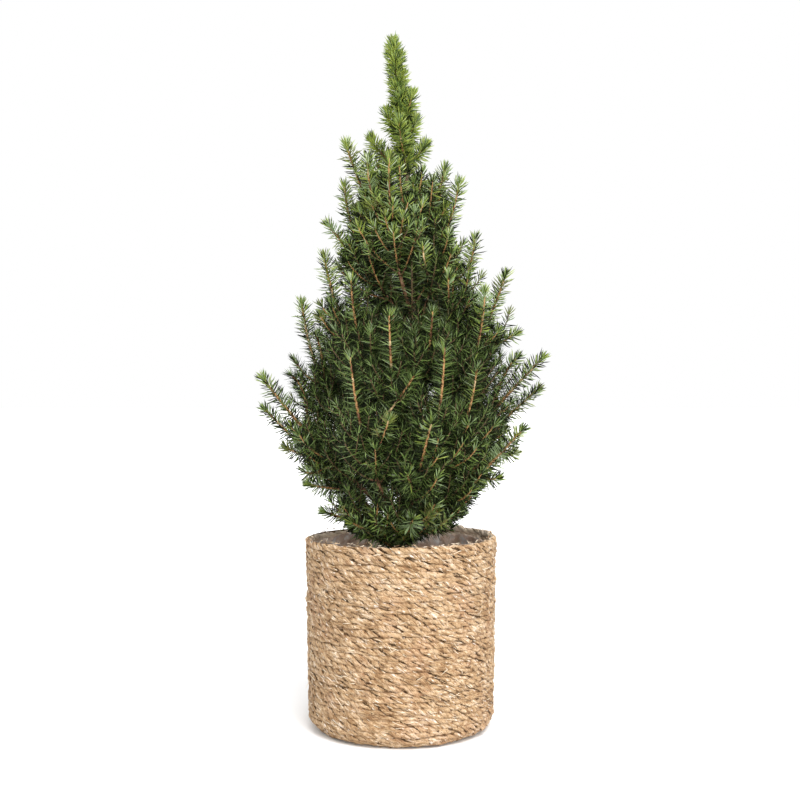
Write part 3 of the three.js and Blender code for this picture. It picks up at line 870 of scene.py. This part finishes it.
def rope_line(first, last, step):
    """Even steps along the coil between two runs of the profile: its length, that run and the angle there."""
    turns = np.arange(first, last, COURSE / 720)
    radius = profile_at(turns)[0]
    angle = np.concatenate([[0], np.cumsum(2 * math.pi * np.diff(turns) / COURSE)])
    length = np.concatenate([[0], np.cumsum(np.hypot(np.diff(radius), radius[1:] * np.diff(angle)))])
    at = np.arange(0, length[-1], step)
    return at, np.interp(at, length, turns), np.interp(at, length, angle)


def build_rope(first, last, step, seed):
    """The coiled rope between two runs of the profile, as strands that wind round each other."""
    at, turns, angle = rope_line(first, last, step)
    count = len(at)
    radius, height = profile_at(turns)
    slope = profile_at(turns + 0.5) - profile_at(turns - 0.5)
    slope = slope / np.hypot(*slope)  # which way the profile runs there, outwards and up
    spin = angle + math.radians(ROPE_START)
    radial = np.stack([np.cos(spin), np.sin(spin), 0 * spin], axis=-1)
    along = np.stack([-np.sin(spin), np.cos(spin), 0 * spin], axis=-1)
    rise = radial * slope[0][:, None] + UP * slope[1][:, None]
    outward = np.cross(along, rise)
    rise = rise * ROPE_TALL
    rng = np.random.default_rng(seed)

    def waver(scale, amount):
        knots = rng.normal(0, 1, int(at[-1] / scale) + 3)
        return amount * np.interp(at / scale, np.arange(len(knots)), knots)

    centre = radial * (radius + waver(17, 0.32))[:, None] + UP * (height + waver(24, 0.55))[:, None]
    piece = Piece()
    slip = waver(40, 1.2)
    for strand in range(STRANDS):
        wind = 2 * math.pi * (at / PITCH + strand / STRANDS) + slip + waver(9, 0.34)
        side = outward * np.cos(wind)[:, None] - rise * np.sin(wind)[:, None]
        cross = outward * np.sin(wind)[:, None] + rise * np.cos(wind)[:, None]
        swell = 1 + waver(5, 0.13) + waver(40, 0.05)
        middle = centre + side * (ROPE_RADIUS - STRAND_THICK) * swell[:, None]
        turn = 2 * math.pi * np.arange(STRAND_SIDES) / STRAND_SIDES
        rough = 1 + rng.normal(0, 0.15, (count, STRAND_SIDES))
        thick = STRAND_THICK * swell[:, None] * np.cos(turn)[None] * rough
        wide = STRAND_WIDE * swell[:, None] * np.sin(turn)[None] * rough
        rings = middle[:, None] + side[:, None] * thick[..., None] + cross[:, None] * wide[..., None]
        rings[..., 2] = np.maximum(rings[..., 2], 0.0)
        add_strand(piece, rings, angle, strand)
    return piece


def add_strand(piece, rings, angle, strand):
    """Skins one strand and maps each of its turns to a row of the UV square."""
    count, sides = rings.shape[:2]
    faces, j = skin(count, sides)
    turns = angle / (2 * math.pi)
    course = np.floor(turns[:-1])
    row = (course * STRANDS + strand)[:, None]
    v0, v1 = (row + j / sides) / MAP_ROWS, (row + (j + 1) / sides) / MAP_ROWS
    u0, u1 = (np.broadcast_to((u - course)[:, None] * MAP_FIT, v0.shape) for u in (turns[:-1], turns[1:]))
    corners = [np.stack(corner, axis=-1) for corner in ((u0, v0), (u1, v0), (u1, v1), (u0, v1))]
    corners = np.stack(corners, axis=2).reshape(-1, 4, 2)
    piece.add(rings.reshape(-1, 3), faces[:, (0, 3, 2, 1)], corners)


def build_backing():
    """A dark shell in the middle of the wall, as painted shade seen only between turns of rope."""
    rows = wall_profile()[0][1:]
    sides = 96
    turn = 2 * math.pi * np.arange(sides) / sides
    ring = np.stack([np.cos(turn), np.sin(turn)], axis=-1)
    shell = [(r + 0.25, z) for r, z in rows] + [(r - 0.25, z) for r, z in rows[::-1]]
    rings = np.array([[(r * x, r * y, z) for x, y in ring] for r, z in [(1.0, ROPE_RADIUS)] + shell])
    piece = Piece()
    add_rings(piece, rings[:, ::-1])
    return piece


# Loose ends of seagrass: how many lie along the rope, stand out of it and stand on the rim, their lengths,
# and how far they stand out as a share of that.
FIBRES = {
    "lying": (1500, (3, 8), (0.0, 0.07)),
    "standing": (230, (4, 13), (0.08, 0.34)),
    "rim": (150, (2, 6), (0.0, 0.4)),
}
FIBRE_RADII = (0.4, 0.14)
FIBRE_TONES = {"pale": (0.86, 0.74, 0.56), "straw": (0.62, 0.44, 0.25), "brown": (0.25, 0.15, 0.08)}
FIBRE_SHARES = (0.4, 0.3, 0.3)


def build_fibres():
    rng = np.random.default_rng(8)
    pieces = {tone: Piece() for tone in FIBRE_TONES}
    for kind, (count, lengths, stands) in FIBRES.items():
        for _ in range(count):
            height = rng.uniform(8, BASKET_HEIGHT - 2)
            radius = FOOT_RADIUS + (RIM_RADIUS - FOOT_RADIUS) * height / BASKET_HEIGHT - 0.3
            rise = rng.normal(-0.4, 0.4)
            if kind == "rim":
                height, rise = BASKET_HEIGHT - 0.8, rng.normal(0.3, 0.5)
                radius -= rng.uniform(0, 2 * ROPE_RADIUS)
            if height < CORNER:
                radius -= 4
            out = direction(rng.uniform(0, 360), 90)
            slant = unit(np.cross(UP, out) + UP * rise) * rng.choice((-1, 1))
            length, stand = rng.uniform(*lengths), rng.uniform(*stands)
            root = out * radius + UP * height
            middle = root + slant * length * 0.5 + out * (0.4 + stand * length * 0.3)
            tip = root + slant * length + out * stand * length + UP * rng.normal(0, 0.1) * length
            middle[2], tip[2] = max(middle[2], 1.0), max(tip[2], 1.0)
            path = Path(root, middle, tip)
            tone = rng.choice(list(FIBRE_TONES), p=FIBRE_SHARES)
            tube(pieces[tone], path, 0, path.length, FIBRE_RADII, 3, 2.5)
    return pieces


# ---------- Liner and soil ----------

LINER_TOP = 181.5
LINER_FOOT = SOIL_LEVEL - 9
LINER_RADIUS = RIM_RADIUS - 2 * ROPE_RADIUS - 1.0
FILM = 0.12  # its thickness

# Where the film stands up above the rest of its edge: turn, width and height.
LINER_PEAKS = ((241, 6, 4), (300, 7, 4), (318, 5, 3), (130, 14, 2), (40, 12, 2), (200, 9, 2))

SOIL_DROP = 3.5  # from the soil's middle to its edge


def liner_edge(turn):
    """Height of the film's edge at a turn in degrees."""
    away = [((turn - at + 180) % 360 - 180) / wide for at, wide, _ in LINER_PEAKS]
    lift = sum(high * math.exp(-(x**2)) for x, (_, _, high) in zip(away, LINER_PEAKS))
    ripple = noise.noise(Vector((turn / 7, 3.1, 0))) + 0.7 * noise.noise(Vector((turn / 2.3, 8.7, 0)))
    return LINER_TOP + lift + 0.9 * ripple


def crease(spot):
    """Sharp folds: high along lines and flat between them."""
    return 1 - abs(noise.noise(spot)) * 2


def build_liner():
    sides, rows = 420, 26
    rings = np.empty((rows, sides, 3))
    for j in range(sides):
        turn = 360 * j / sides
        edge = liner_edge(turn)
        out = direction(turn, 90)
        for k in range(rows):
            share = k / (rows - 1)
            height = LINER_FOOT + (edge - LINER_FOOT) * share
            spot = Vector((out[0] * 5, out[1] * 5, height / 16))
            fold = crease(spot * 1.3) + 0.6 * crease(spot * 3.1 + Vector((7, 0, 0)))
            lean_in = 3.2 * share**3 * max(0, noise.noise(Vector((out[0] * 3, out[1] * 3, 5))) + 0.25)
            radius = LINER_RADIUS - 0.4 - 1.25 * max(fold, 0) - lean_in
            radius -= max(0, edge - LINER_TOP - 2) * 0.5 * share**2
            rings[k, j] = out * radius + UP * height
    inner = rings[::-1].copy()
    inner[..., :2] *= 1 - FILM / LINER_RADIUS
    piece = Piece()
    add_rings(piece, np.concatenate([rings, inner]))
    return piece


def build_soil():
    count, sides = 46, 120
    rings = np.empty((count + 2, sides, 3))
    reach = LINER_RADIUS - 3.4
    for k in range(count):
        radius = 0.6 + (reach - 0.6) * k / (count - 1)
        for j in range(sides):
            turn = 2 * math.pi * j / sides
            x, y = radius * math.cos(turn), radius * math.sin(turn)
            lump = 1.5 * noise.noise(Vector((x, y, 0)) / 9) + 1.1 * noise.noise(Vector((x, y, 4)) / 3.1)
            rings[k, j] = (x, y, SOIL_LEVEL - SOIL_DROP * (radius / reach) ** 2 + lump - 0.6)
    rings[count] = rings[count - 1] + np.array([0, 0, -6])
    rings[count + 1] = rings[0] * np.array([1, 1, 0]) + np.array([0, 0, SOIL_LEVEL - 10])
    piece = Piece()
    add_rings(piece, rings[::-1])
    return piece


def build_crumbs():
    """Loose crumbs of peat and bits of bark on the soil, each with eight faces."""
    rng = np.random.default_rng(23)
    piece = Piece()
    faces = np.array([(0, 2, 4), (2, 1, 4), (1, 3, 4), (3, 0, 4), (2, 0, 5), (1, 2, 5), (3, 1, 5), (0, 3, 5)])
    for _ in range(420):
        radius, turn = 80 * math.sqrt(rng.random()), rng.uniform(0, 360)
        size = rng.uniform(0.7, 2.4)
        height = SOIL_LEVEL - SOIL_DROP * (radius / 82) ** 2 + size * 0.2
        half = np.array([1.0, rng.uniform(0.5, 1), rng.uniform(0.35, 0.8)]) * size
        spin = rng.uniform(0, math.pi)
        across = np.array([math.cos(spin), math.sin(spin), rng.normal(0, 0.3)])
        level = np.array([-math.sin(spin), math.cos(spin), rng.normal(0, 0.3)])
        centre = direction(turn, 90) * radius + UP * height
        axes = zip((across, level, UP), half)
        corners = np.array([centre + sign * axis * h for axis, h in axes for sign in (1, -1)])
        piece.add(corners + rng.normal(0, size * 0.12, (6, 3)), faces)
    return piece


# ---------- Materials ----------


class Value:
    """A shader socket that takes part in Python sums."""

    def __init__(self, sheet, socket):
        self.sheet = sheet
        self.socket = socket

    def math(self, operation, *others):
        return self.sheet.node("ShaderNodeMath", {"operation": operation}, *others)

    def __add__(self, other):
        return self.math("ADD", self, other)

    def __sub__(self, other):
        return self.math("SUBTRACT", self, other)

    def __rsub__(self, other):
        return self.math("SUBTRACT", other, self)

    def __mul__(self, other):
        return self.math("MULTIPLY", self, other)

    def __abs__(self):
        return self.math("ABSOLUTE", self)

    def fraction(self):
        return self.math("FRACT", self)

    __radd__ = __add__
    __rmul__ = __mul__


BLACK, WHITE = (0, 0, 0), (1, 1, 1)


class Sheet:
    """A node tree that is filled from Python values."""

    def __init__(self, tree):
        self.tree = tree

    def fill(self, socket, value):
        if isinstance(value, Value):
            self.tree.links.new(value.socket, socket)
        elif isinstance(value, tuple) and len(value) == 3 and socket.type == "RGBA":
            socket.default_value = (*value, 1)
        else:
            socket.default_value = value

    def node(self, kind, settings, *by_order, output=0, **by_name):
        """Adds any node: its settings first, then its sockets by order or by name."""
        made = self.tree.nodes.new(kind)
        for name, value in settings.items():
            if name == "stops":
                self.stops(made.color_ramp, value)
            else:
                setattr(made, name, value)
        for socket, value in zip(made.inputs, by_order):
            self.fill(socket, value)
        for name, value in by_name.items():
            self.fill(next(s for s in made.inputs if s.name == name.replace("_", " ") and s.enabled), value)
        return Value(self, made.outputs[output])

    @staticmethod
    def stops(ramp, rows):
        while len(ramp.elements) < len(rows):
            ramp.elements.new(0.5)
        for element, (position, colour) in zip(ramp.elements, rows):
            element.position = position
            element.color = (*colour, 1)


class Finish(Sheet):
    """A material with its Principled shader, and the nodes that feed it."""

    def __init__(self, name, **constants):
        self.material = bpy.data.materials.new(name)
        self.material.use_nodes = True
        super().__init__(self.material.node_tree)
        self.shader = self.tree.nodes["Principled BSDF"]
        for socket, value in constants.items():
            self.set(socket, value)

    def set(self, socket, value):
        """Sets or links one of the shader's sockets. Its name's spaces are written as underscores."""
        self.fill(self.shader.inputs[socket.replace("_", " ")], value)

    def place(self):
        return self.node("ShaderNodeTexCoord", {}, output=3)

    def axis(self, vector, number):
        return self.node("ShaderNodeSeparateXYZ", {}, vector, output=number)

    def noise(self, place, scale, detail=3.0, roughness=0.55):
        settings = {"Scale": scale, "Detail": detail, "Roughness": roughness}
        return self.node("ShaderNodeTexNoise", {}, Vector=place, **settings)

    def stretched(self, place, stretch):
        return self.node("ShaderNodeMapping", {}, Vector=place, Scale=stretch)

    def ramp(self, factor, *stops):
        return self.node("ShaderNodeValToRGB", {"stops": stops}, factor)

    def mask(self, factor, off, on):
        """0 up to off and 1 from on, whichever of the two comes first."""
        return self.ramp(factor, *sorted([(off, BLACK), (on, WHITE)]))

    def mix(self, factor, first, second, blend="MIX"):
        settings = {"data_type": "RGBA", "blend_type": blend}
        return self.node("ShaderNodeMix", settings, Factor=factor, A=first, B=second, output=2)

    def bump(self, height, strength, distance):
        settings = {"Strength": strength, "Distance": distance}
        self.set("Normal", self.node("ShaderNodeBump", {}, Height=height, **settings))


def seagrass_finish(first):
    """Dry twisted grass: straw to brown by strand and patch, with blades that run along each strand.

    first is the run of the wall's profile where its rope starts, from which the seams between turns go.
    """
    finish = Finish("seagrass", Specular_IOR_Level=0.28)
    place = finish.place()
    laid = finish.node("ShaderNodeUVMap", {"uv_map": "OFBake"})

    def along(around, across, detail, roughness):
        """Noise drawn out along the strands."""
        return finish.noise(finish.stretched(laid, (around, across, 1)), 1, detail, roughness)

    blade = along(210, 1900, 3, 0.75)
    tuft = along(64, 330, 2, 0.6)
    straw = finish.ramp(
        tuft * 0.6 + finish.noise(place, 62, 3, 0.6) * 0.4,
        (0.33, (0.25, 0.135, 0.060)),
        (0.42, (0.42, 0.265, 0.135)),
        (0.50, (0.570, 0.395, 0.225)),
        (0.58, (0.72, 0.550, 0.370)),
        (0.67, (0.88, 0.770, 0.620)),
    )
    rosy = finish.mask(finish.noise(place, 34, 3, 0.6), 0.50, 0.62)
    colour = finish.mix(rosy * 0.3, straw, (0.56, 0.34, 0.21))
    # Pale flecks along the strands: partly pale blades, partly painted highlights.
    pale = finish.mask(along(80, 600, 1, 0.5), 0.66, 0.72)
    colour = finish.mix(pale * 0.8, colour, (0.97, 0.92, 0.86))
    grain = finish.ramp(
        blade,
        (0.36, (0.24, 0.165, 0.10)),
        (0.44, (0.57, 0.47, 0.38)),
        (0.50, (0.87, 0.84, 0.81)),
        (0.58, (0.93, 0.93, 0.93)),
    )
    colour = finish.mix(1.0, colour, grain, "MULTIPLY")

    # Painted shade where strands meet, and less so where one turn of rope lies on the next.
    around = (finish.axis(laid, 1) * MAP_ROWS).fraction()
    hidden = 1 - abs(around * 2 - 1)  # 0 on a strand's outer face, 0.5 where it meets the other strand
    x, y, z = (finish.axis(place, number) for number in range(3))
    wall_end = wall_profile()[1][-1]
    offset = (first + BASKET_HEIGHT - ROPE_RADIUS - wall_end) / COURSE - ROPE_START / 360
    turn = finish.node("ShaderNodeMath", {"operation": "ARCTAN2"}, y, x) * (1 / (2 * math.pi))
    spare = 10  # whole turns that keep the sum above 0
    seam = 1 - abs((z * (1 / (COURSE * MM)) - turn - (offset - spare)).fraction() * 2 - 1)
    dark = hidden + seam * 0.4 + (along(330, 1100, 2, 0.6) - 0.5) * 1.7
    crevice_shade = finish.ramp(dark, (0.80, WHITE), (0.92, (0.14, 0.09, 0.05)))
    colour = finish.mix(1.0, colour, crevice_shade, "MULTIPLY")

    # Painted light on the inner face near the rim. A mask reads from 0 to 1, so metres are scaled up to that.
    flat = finish.stretched(place, (1, 1, 0))
    radius = finish.node("ShaderNodeVectorMath", {"operation": "LENGTH"}, flat, output=1)
    inner_face, rim = RIM_RADIUS / 100, BASKET_HEIGHT / 200
    inside = finish.mask(radius * 10, inner_face - 0.028, inner_face - 0.040)
    rim_light_band = finish.mask(z * 5, rim - 0.10, rim - 0.08)
    finish.set("Base_Color", finish.mix(inside * rim_light_band * 0.6, colour, (1.0, 0.86, 0.70)))
    finish.set("Roughness", blade * 0.3 + 0.55)
    finish.bump(blade + tuft * 0.4, 0.8, 0.0012)
    return finish.material


def plain_finish(name, colour, roughness, level=0.5):
    return Finish(name, Base_Color=colour, Roughness=roughness, Specular_IOR_Level=level).material


def bark_finish(name, tint):
    """Thin scaly bark, pale grey-brown with reddish cracks, under a tint."""
    finish = Finish(name, Specular_IOR_Level=0.25)
    place = finish.place()
    scales = finish.noise(finish.stretched(place, (1, 1, 0.45)), 420, 4, 0.65)
    tone = finish.noise(place, 90, 3, 0.5)
    colour = finish.ramp(
        scales * 0.7 + tone * 0.3,
        (0.36, (0.070, 0.036, 0.020)),
        (0.45, (0.240, 0.150, 0.095)),
        (0.54, (0.430, 0.315, 0.230)),
        (0.66, (0.640, 0.540, 0.440)),
    )
    finish.set("Base_Color", finish.mix(1.0, colour, tint, "MULTIPLY"))
    finish.set("Roughness", scales * 0.25 + 0.65)
    finish.bump(scales, 0.7, 0.0006)
    return finish.material


def film_finish():
    """Crinkled film, pale with warm creases."""
    finish = Finish("film", Alpha=0.92, Specular_IOR_Level=0.6, IOR=1.49)
    place = finish.place()
    cloud = finish.noise(place, 90, 4, 0.6)
    stops = (0.38, (0.62, 0.42, 0.31)), (0.50, (0.84, 0.64, 0.52)), (0.62, (1.0, 0.93, 0.88))
    finish.set("Base_Color", finish.ramp(cloud, *stops))
    finish.set("Roughness", cloud * 0.25 + 0.18)
    finish.bump(finish.noise(place, 260, 4, 0.6), 0.6, 0.0008)
    return finish.material


def soil_finish():
    finish = Finish("soil", Specular_IOR_Level=0.2)
    place = finish.place()
    crumb = finish.noise(place, 420, 5, 0.7)
    stops = (0.35, (0.008, 0.005, 0.003)), (0.6, (0.04, 0.025, 0.015)), (0.75, (0.1, 0.065, 0.04))
    finish.set("Base_Color", finish.ramp(crumb, *stops))
    finish.set("Roughness", crumb * 0.2 + 0.75)
    finish.bump(crumb, 0.9, 0.0015)
    return finish.material


# ---------- Putting the plant together ----------

stems = grow()
needles = grow_needles(stems)
FOLIAGE_NODES = sorted(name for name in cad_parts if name.startswith("foliage_"))
BOUGH_NODES = sorted(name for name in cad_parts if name.startswith("bough_"))

for tint, colour in NEEDLE_COLOURS.items():
    roughness, level = (0.5, 0.12) if tint in ("deep", "shade") else (0.28, 0.48)
    finish = plain_finish(f"needle_{tint}", colour, roughness, level)
    for half in ("front", "rear"):
        made = needles.pieces[tint, half].build(f"needles_{tint}_{half}", finish, False)
        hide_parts(*FOLIAGE_NODES)

trunk = build_trunk().build("trunk_bark", bark_finish("trunk_bark", (0.85, 0.8, 0.74)))
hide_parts("trunk")

wood = build_wood(stems)
old_wood = wood["old"].build("bough_wood", bark_finish("bough_bark", (0.62, 0.46, 0.36)))
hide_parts(*BOUGH_NODES)
# The dark stem colour: the twiglets' own, and painted shade on side shoots deep in the crown.
for tone, colour in {**YOUNG_TONES, "small_and_shaded": (0.13, 0.08, 0.035)}.items():
    made = wood[tone].build(f"twigs_{tone}", plain_finish(f"{tone}_bark", colour, 0.55))
    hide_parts(*FOLIAGE_NODES)

_, run = wall_profile()
wall_start = run[1] - COURSE
seagrass = seagrass_finish(wall_start)
wall = build_rope(wall_start, run[-1], 3.15, 3).build("basket_wall", seagrass)
foot = build_rope(4.0, wall_start, 5.0, 4).build("basket_foot", seagrass)
backing = build_backing().build("basket_backing", plain_finish("grass_shadow", (0.16, 0.095, 0.045), 0.9))
loose = [
    ends.build(f"fibres_{tone}", plain_finish(f"{tone}_grass", FIBRE_TONES[tone], 0.75))
    for tone, ends in build_fibres().items()
]
for piece in (wall, foot, backing, *loose):
    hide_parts("basket")

liner = build_liner().build("liner_film", film_finish())
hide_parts("liner")
soil = build_soil().build("soil_top", soil_finish())
crumbs = build_crumbs().build("soil_crumbs", plain_finish("peat_crumb", (0.05, 0.03, 0.018), 0.9), False)
for piece in (soil, crumbs):
    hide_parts("soil")

# ---------- Floor, light and camera ----------


def flat(name, half, material):
    """A level square on the ground, in metres."""
    corners = [(-half, -half, 0), (half, -half, 0), (half, half, 0), (-half, half, 0)]
    mesh = bpy.data.meshes.new(name)
    mesh.from_pydata(corners, [], [(0, 1, 2, 3)])
    mesh.materials.append(material)
    made = bpy.data.objects.new(name, mesh)
    bpy.context.scene.collection.objects.link(made)
    return made


flat("floor", 40.0, plain_finish("floor_white", (0.93, 0.93, 0.93), 0.9, 0.0))

scene = bpy.context.scene
scene.view_settings.view_transform = "Standard"

# A white studio to look at, whose light is strongest from above and in front.
SKY_TOP = (0.22, -0.34, 1.0)
SKY_LIGHT = (0.38, 1.5)  # away from there and towards it
world = bpy.data.worlds.new("studio")
world.use_nodes = True
sky = Sheet(world.node_tree)
around = sky.node("ShaderNodeTexCoord", {})
towards = sky.node("ShaderNodeVectorMath", {"operation": "DOT_PRODUCT"}, around, SKY_TOP, output=1)
strength = sky.node("ShaderNodeMapRange", {"interpolation_type": "SMOOTHSTEP"}, towards, 0.0, 0.9, *SKY_LIGHT)
studio = sky.node("ShaderNodeBackground", {}, WHITE, strength)
sky.tree.nodes["Background"].inputs["Color"].default_value = (1, 1, 1, 1)
backdrop = Value(sky, sky.tree.nodes["Background"].outputs[0])
seen = sky.node("ShaderNodeLightPath", {})
shown = sky.node("ShaderNodeMixShader", {}, seen, studio, backdrop)
sky.fill(sky.tree.nodes["World Output"].inputs["Surface"], shown)
scene.world = world


def sun(name, turn, lean, strength, softness):
    """A far light that comes from a turn and a lean, with its softness in degrees."""
    lamp = bpy.data.lights.new(name, "SUN")
    lamp.energy = strength
    lamp.angle = math.radians(softness)
    made = bpy.data.objects.new(name, lamp)
    made.rotation_euler = Vector(direction(turn, lean)).to_track_quat("Z", "Y").to_euler()
    bpy.context.scene.collection.objects.link(made)


sun("key", 294, 34, 2.1, 30)
sun("fill", 308, 73, 0.6, 40)
sun("front", 276, 80, 0.65, 16)

CAMERA_PLACE = (-0.001, -1.160, 0.324)  # metres
LENS = 52.2
camera = bpy.data.objects.new("camera", bpy.data.cameras.new("camera"))
camera.data.lens = LENS
camera.data.sensor_width = 36
camera.data.sensor_fit = "HORIZONTAL"
camera.location = CAMERA_PLACE
camera.rotation_euler = (math.pi / 2, 0, 0)
scene.collection.objects.link(camera)
scene.camera = camera
